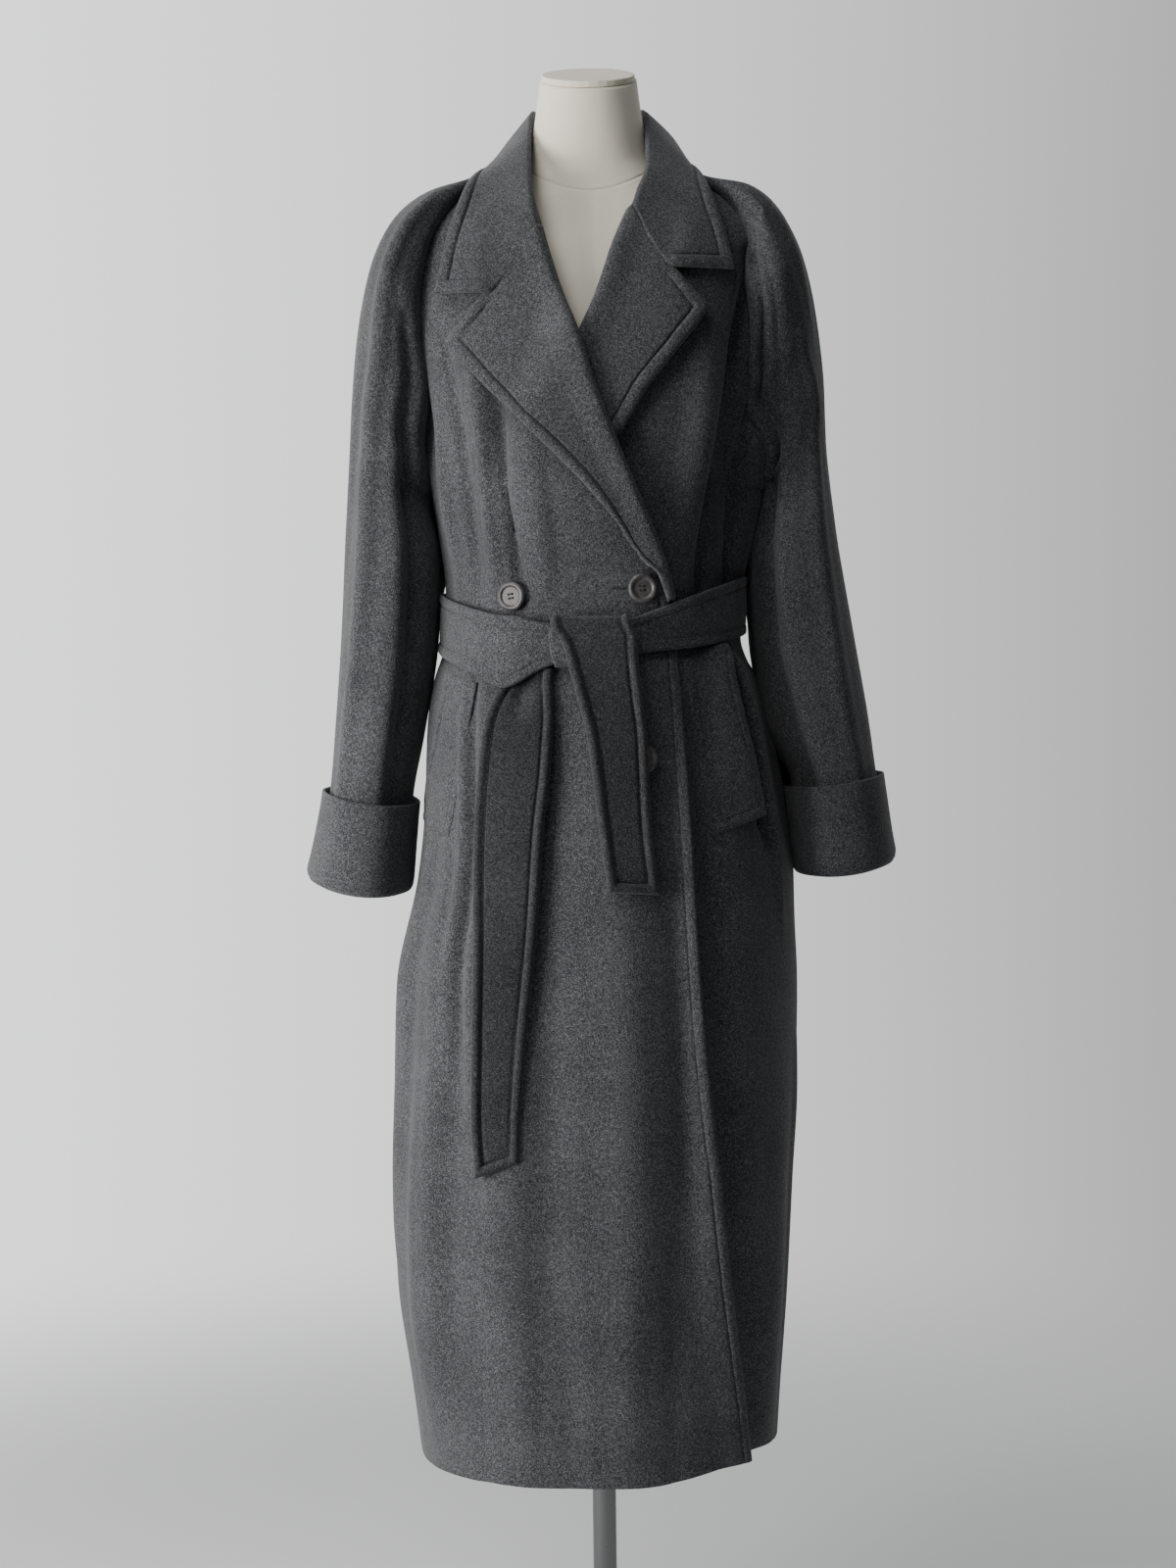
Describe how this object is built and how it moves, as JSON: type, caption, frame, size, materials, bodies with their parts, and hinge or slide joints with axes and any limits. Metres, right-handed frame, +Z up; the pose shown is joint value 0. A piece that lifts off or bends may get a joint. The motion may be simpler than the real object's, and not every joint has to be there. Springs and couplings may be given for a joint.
{
  "type": "double-breasted coat on dress form",
  "caption": "Long belted double-breasted wool coat with notched lapels, raglan sleeves and turned-back cuffs, standing on a limbless dress form with a round steel base.",
  "frame": {"origin": "middle of the stand base's flat underside, on the floor", "axes": "+Z up, the coat's front faces -Y, +X is the wearer's left"},
  "size_m": [0.5483, 0.36, 1.5302],
  "materials": {
    "wool": "charcoal melange wool coating with a soft felted nap",
    "horn": "grey-brown horn-like, satin",
    "linen": "cream linen stretched smooth",
    "steel": "brushed steel"
  },
  "bodies": {
    "root": {"front_right": "wool", "front_left": "wool", "back": "wool", "sleeve_right": "wool", "sleeve_left": "wool", "cuff_right": "wool", "cuff_left": "wool", "collar": "wool", "lapel_right": "wool", "lapel_left": "wool", "belt_band": "wool", "belt_knot": "wool", "belt_tail_short": "wool", "belt_tail_long": "wool", "pocket_welt_left": "wool", "pocket_welt_right": "wool", "button_1": "horn", "button_2": "horn", "button_3": "horn", "button_4": "horn", "form_body": "linen", "form_neck_cap": "linen", "stand_base": "steel", "stand_socket": "steel", "stand_flange": "steel", "stand_pole": "steel"}
  },
  "joints": []
}
